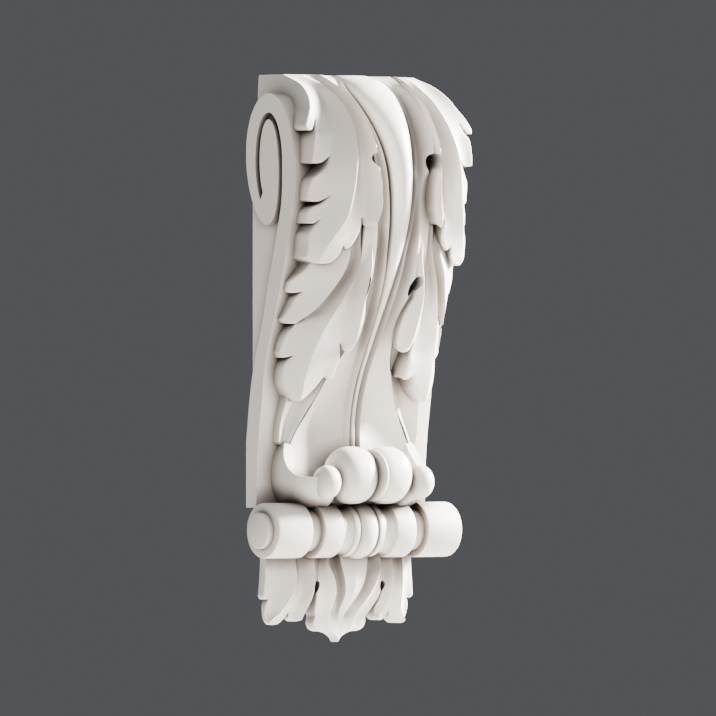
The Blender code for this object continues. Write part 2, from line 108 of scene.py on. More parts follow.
CREASE = np.array([
    [70, 20, 11], [77, 24, 29], [82, 28, 45], [93, 32, 61], [109, 31, 78], [129, 28, 93],
    [149, 25.6, 103], [172, 23, 108], [195, 21.8, 109.4], [215, 20.6, 107.6], [235, 19, 103.6],
    [250, 17.4, 99.6], [275, 15.4, 92.6], [299, 13.8, 83], [327, 12, 69.4], [355, 10.8, 54.6],
    [375, 10.4, 44.6], [400, 10.2, 35.4], [425, 10.2, 31], [440, 10.2, 30], [500, 10.2, 30]])
MARGIN = np.array([
    [70, 47, 17], [77, 46, 39.5], [82, 45, 53], [93, 43, 73], [109, 41, 94], [129, 39, 111],
    [149, 38, 120.5], [158, 37.4, 121.5], [170, 34.6, 119], [182, 31, 114], [198, 28, 113],
    [215, 26.6, 112.6], [240, 25.8, 111.4], [260, 26.4, 108], [280, 27, 103.4], [296, 26, 94.5],
    [320, 22.6, 79.5], [345, 26, 66], [362, 32, 55], [379, 40, 46.5], [392, 45.4, 42],
    [404, 51, 38.6], [412, 55.4, 36.4], [421, 61.4, 34], [430, 67, 32.4], [440, 72, 31.4],
    [446, 74.4, 31], [453, 76, 31], [470, 77, 31], [500, 77, 31]])
MARGIN_FOOT = np.array([
    [70, 58, 8], [77, 56, 28], [93, 54, 58], [112, 52, 84], [147, 50, 113], [170, 47, 114.6],
    [185, 44, 112.4], [215, 42, 111], [240, 41, 108], [280, 40, 99], [320, 37, 77],
    [345, 33, 62], [362, 37, 49],
    [379, 45, 39], [404, 57, 30], [421, 67.4, 25], [440, 80, 22], [500, 84, 22]])
MARGIN_LAP = np.array([[66, 14], [355, 15], [372, 12], [396, 2.4], [500, 2.2]])
MIDDLE_ENDS = (66.0, 496.0)
CHANNEL_SAG = np.array([[340, 0], [380, 3], [420, 5.5], [440, 6], [500, 6]])

# Surface of the upper leaf: down, out at the rib, out near the thumb, out at the outer edge
LEAF_UPPER = np.array([
    [70, 22, 22, 8], [79, 46, 48, 33], [85, 58, 61, 56], [97, 78, 82, 75], [110, 93, 98, 86],
    [130, 108, 114.5, 97.4], [150, 117, 124, 101], [169, 121, 127, 102.5], [198, 122, 128.5, 98.8],
    [225, 119, 127, 96.5], [241, 117, 121, 96.5], [265, 108, 114, 92]])
LEAF_LOWER = np.array([
    [225, 104, 108, 84], [250, 103, 107, 82], [277, 100, 105, 75], [285, 98, 103, 71.5],
    [319, 83, 92, 59.4], [354, 64, 77, 50], [378, 53, 65, 47], [402, 45, 54, 45]])
LEAF_POCKET = np.array([
    [370, 38, 41, 46], [400, 35, 37, 43], [420, 30.6, 31.6, 39], [446, 27, 28, 34]])
PENDANT = np.array([
    [508, 32, 27, 8], [545, 35, 32, 9], [560, 36.5, 34.5, 9.5], [578, 38.5, 36, 10],
    [590, 36, 33, 10], [600, 29, 27, 10], [612, 18.5, 18, 9.5], [625, 13.5, 13, 9],
    [643, 12, 10, 8]])
THUMB_SHARE = 0.46
LEAF_EDGE_STEP = 97.0

# Flutes of each leaf, from its outer edge to its inner one: rows of down, across and how far the
# line stands above the leaf's surface. Crests and valleys take turns.
UPPER_FLUTES = [
    [[70, 88, 1], [85, 88, 2], [110, 97, 4], [131, 103, 3], [140, 99, 5.4], [164, 101, 4.8],
     [180, 102, -1], [225, 104, -2.5], [262, 106, -2.5]],
    [[70, 78, -3.8], [79, 77, -5], [86, 73, -7.5], [97, 69, -9.4], [111, 68.6, -10],
     [124, 71, -10], [137, 74.6, -8.8], [150, 79.6, -7.5], [162, 85, -6.2], [180, 92.5, -3.8],
     [225, 96, -3.1], [262, 99, -1.5]],
    [[70, 64, -2.5], [77, 64, -2.5], [87, 59.6, 0], [93, 58, 1.5], [109, 58, 3.8], [129, 59, 5.6],
     [149, 61.6, 6.9], [168, 64, 8.1], [182, 65.4, 8.1], [198, 67.4, 7.5], [224, 73, 6.2],
     [244, 82, 4.4], [262, 88, 1]],
    [[70, 58, -5], [77, 57, -6.2], [87, 52, -6.9], [93, 50.6, -7.5], [109, 49.6, -7.5],
     [129, 49, -7.5], [149, 49.4, -7.5], [170, 50.4, -7.5], [190, 51, -7.5], [209, 51, -6.9],
     [226, 51, -5.6], [262, 51, -5]],
    [[70, 49, 0], [77, 48, 2.5], [87, 46, 4], [97, 44, 4.6], [110, 42.4, 4.6], [129, 40.6, 4.4],
     [149, 39.6, 4.8], [170, 38.6, 5.2], [190, 36.4, 5.4], [209, 37, 5.4], [228, 41, 3.4]],
    [[70, 46, -3], [77, 45, -1], [87, 43, 1], [97, 41.4, 2], [110, 40, 2], [129, 38, 1.4],
     [149, 37, 0.8], [170, 34, 0.4], [190, 31, 0.4], [209, 31.4, 0.4], [228, 37, 0]]]
UPPER_EDGE = [
    [(81, 66), (82, 79), (83, 85), (87, 97), (92, 110), (97, 118), (101, 125), (103.4, 130.5),
     (102, 134), (98, 134.6), (93.6, 131), (89.4, 124)],
    [(89.4, 124), (91.8, 131), (94.6, 137.6), (96.6, 144), (98, 154), (99.4, 166.6)],
    [(99.4, 166.6), (94, 167.4), (88, 166.4), (81, 160.4)],
    [(81, 160.4), (84, 169), (90, 176.5), (95.5, 182), (98.4, 191), (98.6, 202.6)],
    [(98.6, 202.6), (94, 204.8), (90, 204.6), (83, 199.4)],
    [(83, 199.4), (88.6, 206.6), (94.5, 210.4), (98.4, 217), (98.4, 225.6)],
    [(98.4, 225.6), (94, 226.4), (89, 222.6)],
    [(89, 222.6), (93.4, 230.4), (97.4, 238), (97, 247), (97.6, 259.4)],
    [(97.6, 259.4), (92, 263), (84, 266), (76, 264.6), (70, 258.6), (66.4, 248)],
    [(66.4, 248), (62, 251.4), (57.6, 249), (53.6, 243), (51.2, 236), (50.4, 229),
     (50.8, 221)],
    [(50.8, 221), (48, 227.6), (43.3, 229.3), (38.4, 225.4), (34.4, 216.5), (32.6, 206),
     (33, 192), (35.4, 180), (38, 168), (38.6, 158), (38.4, 147), (38.8, 129), (41, 109),
     (43, 93), (45, 82), (46, 66)],
    [(46, 66), (81, 66)]]

LOWER_FLUTES = [
    [[225, 90, -1.3], [262, 95, -1.3], [285, 104, -2], [319, 104, -2], [354, 103, -2.6],
     [400, 100, -2.6]],
    [[225, 56, 0], [254, 56, 3.2], [275, 62.5, 5.9], [296, 72, 5.9], [314, 82.5, 4.5],
     [325, 91, 1.3], [400, 98, -1.3]],
    [[225, 52, -2.6], [254, 50, -3.9], [270, 53, -5.2], [284, 60, -5.9], [297, 67, -5.9],
     [311, 75, -5.9], [323, 87, -3.9], [400, 96, -3.2]],
    [[225, 46, 0], [250, 44.5, 2], [267, 46.4, 3.9], [290, 54.6, 5.2], [307, 61, 5.2],
     [328, 69, 5.2], [348, 74, 5.2], [369, 77, 5.2], [386, 78, 4.5], [400, 78, 3.9]],
    [[225, 40, -2.6], [250, 40, -3.9], [267, 42, -4.5], [283, 46, -5.2], [300, 49.6, -5.2],
     [326, 51, -5.2], [346, 46.6, -5.2], [365, 52, -1.3], [378, 54, -1.3], [400, 60, 0]],
    [[225, 32, 0], [262, 31, 2.6], [285, 34, 4.5], [300, 36, 5.9], [326, 35.4, 6.5],
     [345, 35, 5.2], [352, 35, 1.3], [400, 40, 0]],
    [[225, 29, -1.3], [262, 27, 0], [280, 28.4, -1], [296, 29, -2], [317, 23.4, -3], [345, 26, -3],
     [400, 36, -3]]]
LOWER_EDGE = [
    [(88, 222), (88, 262), (92, 272), (97.5, 279), (101, 285), (101, 291), (96, 294.6),
     (90.4, 293.4)],
    [(90.4, 293.4), (94, 299), (96, 307), (98.6, 315), (101, 320.6)],
    [(101, 320.6), (97, 324), (92, 325), (84, 320)],
    [(84, 320), (90, 325.5), (94.5, 332), (97.4, 341), (98.6, 353)],
    [(98.6, 353), (94.6, 358.4), (88, 356.6)],
    [(88, 356.6), (92.4, 363), (94.4, 372), (93, 384), (86, 394.6), (77.5, 401.6)],
    [(77.5, 401.6), (70, 395.4), (62, 387), (54.4, 376.6)],
    [(54.4, 376.6), (49.6, 379.4), (44.6, 379.2), (42.8, 370), (42.6, 358), (44.6, 344.4)],
    [(44.6, 344.4), (40, 351), (33, 352.6), (28, 349), (24.4, 341), (22.8, 330), (23.8, 317),
     (27, 306), (30.6, 296), (30, 284), (28.4, 276), (27, 262), (27, 222)],
    [(27, 222), (88, 222)]]

POCKET_FLUTES = [
    [[370, 84, 0], [400, 84, -3], [420, 87, -3.5], [446, 88, -3]],
    [[370, 58, -5], [400, 66, -7], [420, 74, -8], [436, 79, -6.5], [446, 81, -5]],
    [[370, 37, 8.6], [379, 41, 6.2], [392, 46.5, 3.2], [404, 52.5, 0.8], [421, 63, 0.6],
     [440, 73.4, 0], [446, 75.6, 0]]]
POCKET_EDGE = [
    [(78, 370), (80.4, 388), (83, 402), (85.4, 418), (86.4, 432), (86, 441.6)],
    [(86, 441.6), (82, 444.6), (77.6, 444.8), (72.8, 441.4)],
    [(72.8, 441.4), (67.6, 430), (62, 421), (51.6, 404), (46, 392), (40.8, 379), (38, 370)],
    [(38, 370), (78, 370)]]

# Eyes drilled at the top of each thumb: outline of the hole, as (across, down)
UPPER_EYE = [[(37.4, 155.4), (41, 157), (43, 161.4), (42, 166), (38.6, 170.6), (34.8, 176)],
             [(34.8, 176), (32.4, 171), (31.6, 166), (32.2, 160.4), (34.4, 156.8), (37.4, 155.4)]]
LOWER_EYE = [[(30, 277.2), (33, 278.8), (34, 283), (32.6, 288), (29.4, 293), (26.2, 298)],
             [(26.2, 298), (24.6, 293.6), (24.6, 288.6), (25.8, 283), (27.6, 278.8), (30, 277.2)]]
# Distances out: where the drill starts, the faces that the eyes open in, and how deep they go
EYE_FROM = 140.0
UPPER_EYE_OUT = 124.0
LOWER_EYE_OUT = 108.0
EYE_DEPTH = 26.0

# Curled tip of the leaf: side view of its rim (out, down), then its half width and how far it
# stands out by height
CURL_RIM = np.array([[-10, 425], [16, 430], [24, 437], [30, 444], [34, 453], [39, 461], [46, 469],
                     [55, 474.4], [65, 476.4], [77, 475.4], [100, 472]])
CURL_WIDTH = np.array([[426, 72], [436, 76], [446, 81.5], [459, 86.4], [473, 88], [487, 86.4],
                       [497, 82.4], [507, 74]])
CURL_OUT = np.array([[426, 74], [446, 80.6], [462, 83], [475, 84], [487, 82], [497, 73],
                     [507, 55]])
# Between its corners the front stands out by a share only: up to which share of the half width,
# and over what share it then grows to the full
CURL_FLAT = 0.76
CURL_FLAT_TO = 0.45
CURL_CORNER = 0.17
# Heights that the curl is drawn between, and limits of what opens it above the rim
CURL_TOP = 426.0
CURL_FOOT = 507.0
ABOVE_CURL = 400.0
OPENING_HALF = 110.0
# Scoop inside the rim: its level floor, how far past the rim it starts, half its width by out
SCOOP_FLOOR = 488.0
SCOOP_LIP = 0.6
SCOOP_HALF = np.array([[-10, 68], [30, 71], [36, 74], [46, 76], [57, 73], [66, 67], [77, 53],
                       [84, 40]])
# Balls, hooks and the crescent: centre and reach (across, out, down), and how square they are
BALL_CENTRE = (21.0, 61.0, 475.0)
BALL_REACH = (25.6, 26.0, 28.6)
BALL_FULLNESS = 2.5
HOOK_CENTRE = (57.8, 71.0, 481.6)
HOOK_REACH = (13.0, 15.0, 16.6)
HOOK_FULLNESS = 2.2
CRESCENT_CENTRE = (3.4, 63.0, 475.0)
CRESCENT_REACH = (5.6, 27.6, 26.0)
CRESCENT_FULLNESS = 2.4

# Turned roll: distance from the middle and radius, as shares of half the length and the radius
ROLL_STEP = 529.6
ROLL_OUT_STEP = 40.0
ROLL_TURNING = [(0.0, 1.05), (0.035, 1.04), (0.066, 1.0), (0.09, 0.92), (0.1, 0.86),
                (0.104, 0.93), (0.114, 0.97), (0.15, 0.97), (0.16, 0.955), (0.166, 0.9),
                (0.185, 0.84), (0.21, 0.81), (0.25, 0.83), (0.272, 0.89), (0.284, 0.955),
                (0.29, 0.99), (0.298, 1.0), (0.488, 1.0), (0.496, 0.992), (0.5, 0.97),
                (0.501, 0.76), (0.626, 0.76), (0.627, 0.97), (0.631, 0.992), (0.639, 1.0),
                (0.98, 1.0), (0.991, 0.992), (0.998, 0.975), (1.0, 0.95)]
DISC_TURNING = [(0, 1), (0.985, 1), (0.995, 0.97), (1, 0.9)]

# Leaf below the roll
PENDANT_FLUTES = [
    [[508, 93, 1], [592, 93, 1], [640, 93, 0]],
    [[508, 80, -4], [560, 80, -5], [577, 80, -5], [590, 81, -5], [602, 83, -4], [640, 89, -2]],
    [[508, 67, 2], [559, 66.5, 3], [577, 66, 4], [590, 67.4, 4], [602, 71, 3.5], [612, 76, 2.5],
     [620, 84, 1], [640, 88, 0]],
    [[508, 60, -4], [559, 59, -5], [577, 57, -5], [595, 55.6, -5], [615, 57, -4], [640, 60, -3]],
    [[508, 49, 2], [560, 48.4, 3], [577, 47.4, 3], [595, 49, 4], [615, 48, 2], [640, 48, 0]],
    [[508, 38, -4], [560, 38, -5], [580, 40, -6], [600, 40, -4], [615, 41, -4], [640, 41, -4]]]
PENDANT_EDGE = [
    [(91, 508), (90.6, 560), (91.6, 580), (92.6, 590), (93.4, 594.6)],
    [(93.4, 594.6), (91, 598), (86.4, 598.4)],
    [(86.4, 598.4), (88.6, 606), (87.4, 616), (83, 623), (75, 623.4), (68, 619.6), (62, 611.4)],
    [(62, 611.4), (60.4, 617), (55, 620.4), (48.4, 619.4), (43.4, 614), (41.4, 604), (41.4, 592),
     (37, 581), (34, 560), (34, 540), (34, 508)],
    [(34, 508), (91, 508)]]
MIDDLE_FLUTES = [
    [[508, 0, 3], [560, 0, 3], [577, 0, 3], [590, 0, 3], [600, 0, 2.4], [612, 0, 1.2], [619, 0, 0],
     [641, 0, 0]],
    [[508, 18.5, 0.5], [560, 16.6, 0.5], [577, 12.6, 0.5], [590, 9, 0.5], [600, 6.8, 0.5],
     [612, 4, 0], [619, 2, 0], [641, 1, 0]],
    [[508, 21, -8], [560, 19.6, -8], [577, 15.6, -8], [590, 12, -8], [600, 9.6, -7], [612, 7, -4],
     [619, 5, -0.6], [641, 3, 0]],
    [[508, 32, 1], [560, 33, 2], [577, 27, 3], [595, 20.6, 3], [610, 17, 2.6], [620, 15.4, 1],
     [641, 10, 0]],
    [[508, 37, -3], [560, 39, -4], [577, 38, -5], [595, 34, -4], [612, 26, -1.6], [622, 22, 0],
     [641, 20, 0]],
    [[508, 42, -5], [577, 42, -5], [600, 38, -1], [612, 34, 0], [641, 25, 0]]]
MIDDLE_HALF_EDGE = [
    [(38, 508), (38.4, 540), (39.4, 560), (41, 574), (40, 590), (37, 602), (33.6, 611)],
    [(33.6, 611), (31.6, 616), (32.6, 622), (30, 628), (24, 630.6), (17, 631), (9, 633.4),
     (3.6, 637), (0, 641.6)]]
PENDANT_EYE = [[(40.4, 579.6), (43, 581.6), (43.6, 585.4), (42.4, 589.6), (40.6, 593.6)],
               [(40.6, 593.6), (38.6, 589), (37.6, 585), (38.2, 581.4), (40.4, 579.6)]]
PENDANT_EYE_OUT = (60.0, 8.0)

# Meshing of the relief: radius of its rounded edges, and the spacing of its points along them,
# over the leaf and near the middle, with half the width of that finer middle
EDGE_RADIUS = 1.5
EDGE_SPACING = 1.0
POINT_SPACING = 1.35
FINE_SPACING = 0.9
FINE_HALF = 31.0

# Where the backs of the pieces lie before they are cut flat, each a little deeper than the one
# before. Backs that are hidden inside another piece stay off the wall, so that no two faces
# share its plane: how far off, and from which height down.
BACK_STEP = -2.0
BACK_STAGGER = 0.6
HIDDEN_STEP = 2.0
HIDDEN_FROM = 148.0

# Walls of the leaves. Under the tips of the thumbs they tuck in by TUCK over the first
# TUCK_BACK, and by FOOT_TUCK times that at their foot. The foot stands at a share of the rim's
# distance across, and never past FOOT_LIMIT.
TUCK = 4.4
TUCK_BACK = 9.0
FOOT_TUCK = 1.6
FOOT_SHARE = 0.965
POCKET_FOOT_SHARE = 1.07
FOOT_LIMIT = 93.0

# At the head the outer walls flare to HEAD_HALF: from which distance across, down to which
# height in full, and over what height that fades
HEAD_HALF = 91.0
HEAD_INSIDE = 78.0
HEAD_ENDS = 100.0
HEAD_FADE = 22.0

# Edges sharper than this angle stay sharp in the shading
SHARP_ANGLE = 40.0

# How sharp the crests are, from 0 to 1, on the leaves and along the rib
FLUTE_SHARP = 0.7
RIB_SHARP = 0.35

# Broad rounding of the thumbs: its reach and depth, the height it starts at on the upper and on
# the lower leaf, how far across it goes, and over what distance it fades
PILLOW_REACH = 4.0
PILLOW_DEPTH = 1.5
UPPER_THUMB_FROM = 168.0
LOWER_THUMB_FROM = 296.0
PILLOW_ENDS = 62.0
PILLOW_FADE = 12.0

# Limits past everything, for the solids that cut
ALL_ACROSS = (-130.0, 130.0)
BEHIND_ALL = -90.0
AHEAD_OF_ALL = 150.0
BELOW_ALL = 700.0

# Where the camera stands and looks, in steps, and how many steps the picture spans
CAMERA_AWAY = 9198.0
CAMERA_TURN = 36.8
CAMERA_ACROSS = 27.0
CAMERA_LOOK_STEP = 358.0
CAMERA_LEVEL_STEP = 426.0
IMAGE_STEPS = 716.0

# Soft boxes as place, target, size in metres, power in watts and colour; the even surround; the
# floor's level and half its width in metres
KEY = ((2.25, -0.64, 1.0), (0, 0, 0), 0.5, 1180, "#fffaf3")
FILL = ((-0.9, -2.0, 0.6), (0, 0, 0), 0.8, 36, "#fbf8f5")
SURROUND_COLOUR = "#5c5d61"
SURROUND_STRENGTH = 0.85
FLOOR_LEVEL = -0.9
FLOOR_HALF = 4.0

# How far off a wall still shades a hollow, in metres
HOLLOW_REACH = 0.016
PLASTER_NAME = "satin_coated_plaster"


def scale():
    """Metres for one step across, out and down."""
    sizes = bpy.context.scene.corbel_sizes
    return np.array([sizes.body_width / 2 / STEPS_HALF_WIDE, sizes.projection / STEPS_OUT,
                     sizes.height / STEPS_HIGH])


def place(across, out, down):
    """Turns steps into metres: right is +X, the wall is the plane Y = 0, up is +Z."""
    sx, sy, sz = scale()
    across, out, down = np.broadcast_arrays(across, out, down)
    return np.stack([across * sx, -out * sy, (MID_STEP - down) * sz], -1)


def smooth(at, table, column=1):
    """Cubic through the rows of a table (first column against another), flat beyond its ends."""
    table = np.asarray(table, float)
    x, y = table[:, 0], table[:, column]
    slope = np.diff(y) / np.diff(x)
    tangent = np.concatenate(([slope[0]], (slope[1:] + slope[:-1]) / 2, [slope[-1]]))
    tangent[1:-1] = np.where(slope[1:] * slope[:-1] <= 0, 0, tangent[1:-1])
    at = np.clip(np.asarray(at, float), x[0], x[-1])
    i = np.clip(np.searchsorted(x, at) - 1, 0, len(x) - 2)
    h = x[i + 1] - x[i]
    t = (at - x[i]) / h
    return ((2 * t**3 - 3 * t**2 + 1) * y[i] + (t**3 - 2 * t**2 + t) * h * tangent[i]
            + (3 * t**2 - 2 * t**3) * y[i + 1] + (t**3 - t**2) * h * tangent[i + 1])


def curve(points, spacing):
    """Evenly spaced points on a smooth line through the given ones, without the last."""
    points = np.asarray(points, float)
    run = np.concatenate(([0], np.cumsum(np.hypot(*np.diff(points, axis=0).T))))
    at = np.linspace(0, run[-1], max(int(round(run[-1] / spacing)), 1) + 1)[:-1]
    return np.stack([smooth(at, np.stack([run, points[:, k]], 1)) for k in (0, 1)], -1)


def grid_faces(rows, cols, close=False):
    """Quads of a grid of rows by cols vertices, numbered row by row."""
    i, j = np.meshgrid(np.arange(rows - 1), np.arange(cols if close else cols - 1), indexing="ij")
    k = (j + 1) % cols
    a = i * cols
    return np.stack([a + j, a + k, a + cols + k, a + cols + j], -1).reshape(-1, 4).tolist()


def make(name, points, faces):
    """A mesh object whose normals all face outward."""
    mesh = bpy.data.meshes.new(name)
    mesh.from_pydata(np.asarray(points).reshape(-1, 3).tolist(), [], faces)
    work = bmesh.new()
    work.from_mesh(mesh)
    bmesh.ops.remove_doubles(work, verts=work.verts, dist=1e-7)
    bmesh.ops.recalc_face_normals(work, faces=work.faces)
    work.to_mesh(mesh)
    work.free()
    obj = bpy.data.objects.new(name, mesh)
    bpy.context.collection.objects.link(obj)
    return obj


def walls(ring, first_back):
    """Quads between a ring of front vertices and as many back vertices, and one flat back."""
    ring = np.asarray(ring)
    back = first_back + np.arange(len(ring))
    return (np.stack([ring, np.roll(ring, -1), np.roll(back, -1), back], -1).tolist()
            + [back[::-1].tolist()])


def lump(name, front, foot):
    """Closed solid: a grid for its face, walls from the grid's rim to its foot, a flat back."""
    rows, cols = front.shape[:2]
    number = np.arange(rows * cols).reshape(rows, cols)
    ring = np.concatenate([number[0], number[1:, -1], number[-1, -2::-1], number[-2:0:-1, 0]])
    points = np.concatenate([front.reshape(-1, 3), foot.reshape(-1, 3)[ring]])
    return make(name, points, grid_faces(rows, cols) + walls(ring, rows * cols))


def distance_to(outline, points):
    """Distance from each point to a closed line, as the least over all its straight pieces."""
    start, step = outline, np.roll(outline, -1, axis=0) - outline
    length = (step**2).sum(1)
    nearest = []
    for part in np.array_split(points, max(len(points) // 1500, 1)):
        gap = part[:, None] - start[None]
        t = np.clip((gap * step[None]).sum(2) / length[None], 0, 1)
        nearest.append(((gap - t[..., None] * step[None]) ** 2).sum(2).min(1))
    return np.sqrt(np.concatenate(nearest))


def edge_drop(distance, radius):
    """How far a rounded edge falls back at a distance from the outline: a quarter circle."""
    near = np.clip(distance / radius, 0, 1)
    return radius * (1 - np.sqrt(1 - (1 - near) ** 2))


def net_of_points(low, high, spacing):
    """Staggered rows of points between two corners."""
    net = np.stack(np.meshgrid(np.arange(low[0], high[0], spacing),
                               np.arange(low[1], high[1], spacing * 0.87)), -1)
    net[1::2, :, 0] += spacing / 2
    return net.reshape(-1, 2)


def inward_of(outline):
    """Unit vectors that point from a closed line into its area."""
    ahead = np.roll(outline, -1, axis=0) - np.roll(outline, 1, axis=0)
    area = (outline[:, 0] * np.roll(outline[:, 1], -1)
            - outline[:, 1] * np.roll(outline[:, 0], -1)).sum()
    return np.sign(area) * np.stack([-ahead[:, 1], ahead[:, 0]], 1) / np.hypot(*ahead.T)[:, None]


def apart(points, others, gap):
    """The points that lie farther than a gap from all the others."""
    if not len(others):
        return points
    far = [((part[:, None] - others[None]) ** 2).sum(2).min(1) > gap**2
           for part in np.array_split(points, max(len(points) // 1500, 1))]
    return points[np.concatenate(far)]


def seam_points(outline, lines, sides):
    """Points along the crests and valleys inside an outline, so that edges of the mesh run
    along them and not across."""
    found = np.zeros((0, 2))
    for line in lines:
        down = np.arange(line[0][0], line[-1][0], FINE_SPACING)
        for side in sides:
            row = np.stack([side * smooth(down, line), down], 1)
            row = row[distance_to(outline, row) > 1.2 * EDGE_RADIUS]
            found = np.concatenate([found, apart(row, found, 0.6 * FINE_SPACING)])
    return found


def fill(outline, radius, fine_half=0.0, seam=()):
    """Triangles over a flat outline: rings follow its rounded edge, and an even net of points
    fills the rest, closer together near the middle of the leaf. Gives the points, the triangles,
    the ring of outline points and the distance of each point to the outline."""
    inward = inward_of(outline)
    points = [outline]
    for share in 1 - np.cos(np.radians([30, 60, 90])):
        ring = outline + inward * share * radius
        points.append(ring[distance_to(outline, ring) > 0.97 * share * radius])
    coarse = net_of_points(outline.min(0), outline.max(0), POINT_SPACING)
    fine = net_of_points(outline.min(0), outline.max(0), FINE_SPACING)
    net = np.concatenate([coarse[np.abs(coarse[:, 0]) >= fine_half],
                          fine[np.abs(fine[:, 0]) < fine_half]])
    net = net[distance_to(outline, net) > radius + 0.6 * POINT_SPACING]
    points += [apart(net, seam, 0.75 * FINE_SPACING)] + ([seam] if len(seam) else [])
    points = np.concatenate(points)
    found, _, faces, origin, _, _ = delaunay_2d_cdt(
        [Vector(p) for p in points.tolist()], [], [list(range(len(outline)))], 1, 1e-6)
    found = np.array([tuple(p) for p in found])
    new_number = {old: new for new, olds in enumerate(origin) for old in olds}
    ring = [new_number[i] for i in range(len(outline))]
    used = np.unique(np.concatenate([np.array(faces).ravel(), ring]))
    renumber = np.zeros(len(found), int)
    renumber[used] = np.arange(len(used))
    found = found[used]
    return found, renumber[np.array(faces)].tolist(), renumber[ring], distance_to(outline, found)


def sheet(name, edge, surface, order, lines, sides=(1,), thumbs_from=BELOW_ALL, fine_half=0.0,
          foot_share=FOOT_SHARE):
    """Carved sheet: stands out by the surface function over its outline, less the rounding of
    its edge, with walls back to the wall side. The thumbs below a given height get a broad
    rounding, and the walls below them tuck in behind it. Gives one closed solid for each side."""
    outline = np.concatenate([curve(run, EDGE_SPACING) for run in edge])
    seam = seam_points(outline, lines, (1, -1) if fine_half else (1,))
    flat, faces, ring, distance = fill(outline, EDGE_RADIUS, fine_half, seam)
    thumb = (np.clip((PILLOW_ENDS - np.abs(flat[:, 0])) / PILLOW_FADE, 0, 1)
             * np.clip((flat[:, 1] - thumbs_from) / PILLOW_FADE, 0, 1))
    out = surface(flat[:, 0], flat[:, 1]) - edge_drop(distance, EDGE_RADIUS)
    out = out - PILLOW_DEPTH / PILLOW_REACH * thumb * edge_drop(distance, PILLOW_REACH)
    rim, rim_out = flat[ring], out[ring]
    inward = inward_of(rim)
    tucked = rim + (TUCK * thumb[ring] * np.clip(-inward[:, 1], 0, 1))[:, None] * inward
    foot = rim + FOOT_TUCK * (tucked - rim)
    across = np.clip(foot_share * foot[:, 0], -FOOT_LIMIT, FOOT_LIMIT)
    head = np.clip((HEAD_ENDS + HEAD_FADE - foot[:, 1]) / HEAD_FADE, 0, 1)
    head = head * (foot[:, 0] > HEAD_INSIDE)
    across = across + head * np.maximum(HEAD_HALF - across, 0)
    along = (TUCK_BACK / (rim_out + 2)) * (1 - thumb[ring])
    middle = tucked + along[:, None] * (np.stack([across, foot[:, 1]], 1) - tucked)
    count = len(flat)
    band = count + np.arange(len(ring))
    sides_of_band = np.stack([ring, np.roll(ring, -1), np.roll(band, -1), band], -1).tolist()
    solids = []
    for k, side in enumerate(sides):
        front = place(side * flat[:, 0], out, flat[:, 1])
        neck = place(side * middle[:, 0], rim_out - TUCK_BACK, middle[:, 1])
        back = place(side * across, back_step(order + k), foot[:, 1])
        solids.append(make(f"{name}_{k}", np.concatenate([front, neck, back]),
                           faces + sides_of_band + walls(band, count + len(ring))))
    return solids


def back_step(order):
    """Where the back of one solid lies, so that no two backs share a plane."""
    return BACK_STEP - BACK_STAGGER * order


def flutes(across, down, lines, sharp=0.0, round_first=False):
    """Height between lines that run down the leaf. Where s is the share of the way from the
    lower line to the higher one, it rises by 3 s^2 - 2 s^3, which rounds the crests, or by s^2,
    which leaves them sharp; `sharp` is the share of the second. A rounded first part falls by
    (1 - s^2)^0.6, where s runs from the first line to the second."""
    where = np.array([smooth(down, line) for line in lines])
    height = np.array([smooth(down, line, 2) for line in lines])
    if where[0].mean() > where[-1].mean():
        where, height = where[::-1], height[::-1]
    total = height[0].copy()
    for k in range(len(lines) - 1):
        width = np.maximum(where[k + 1] - where[k], 0.4)
        s = np.clip((across - where[k]) / width, 0, 1)
        rises = height[k + 1] > height[k]
        t = np.where(rises, s, 1 - s)
        low, high = np.minimum(height[k], height[k + 1]), np.maximum(height[k], height[k + 1])
        lift = (1 - sharp) * t * t * (3 - 2 * t) + sharp * t * t
        if round_first and k == 0:
            lift = (1 - s * s) ** 0.6
        total = np.where(across > where[k], low + (high - low) * lift, total)
    return total


def swept(table):
    """Surface of a leaf between the wall side and its fullest point: a parabola across the leaf
    through its distance out at the rib, near the thumb and at its outer edge."""
    def out(across, down):
        """Distance out at each point."""
        share = np.abs(across) / LEAF_EDGE_STEP
        rib, thumb, edge = (smooth(down, table, c) for c in (1, 2, 3))
        bow = ((thumb - rib) - THUMB_SHARE**2 * (edge - rib)) / (THUMB_SHARE - THUMB_SHARE**2)
        return rib + bow * share + (edge - rib - bow) * share**2
    return out


def carved(table, lines):
    """Leaf surface with its flutes."""
    base = swept(table)
    return lambda across, down: (base(across, down)
                                 + flutes(np.abs(across), down, lines, FLUTE_SHARP))


MIDDLE_LINES = (RIB_MIDDLE, RIB_EDGE, THIN_RIDGE, CREASE, MARGIN, MARGIN_FOOT)


def middle_surface(across, down):
    """Rib, its thin ridges, the crease and the margin, and the sag of the long channel."""
    across = np.abs(across)
    crease, margin = smooth(down, CREASE), smooth(down, MARGIN)
    s = np.clip((across - crease) / np.maximum(margin - crease, 1), 0, 1)
    return (flutes(across, down, MIDDLE_LINES, RIB_SHARP, True)
            - smooth(down, CHANNEL_SAG) * 4 * s * (1 - s))


def middle_edge():
    """Outline of the middle: well past the margin below the side leaves, and just past it
    where the channel's edge shows."""
    down = np.linspace(*MIDDLE_ENDS, 44)
    across = smooth(down, MARGIN) + smooth(down, MARGIN_LAP)
    right = np.stack([across, down], 1)
    left = right[::-1] * [-1, 1]
    return [right, np.array([right[-1], left[0]]), left, np.array([left[-1], right[0]])]


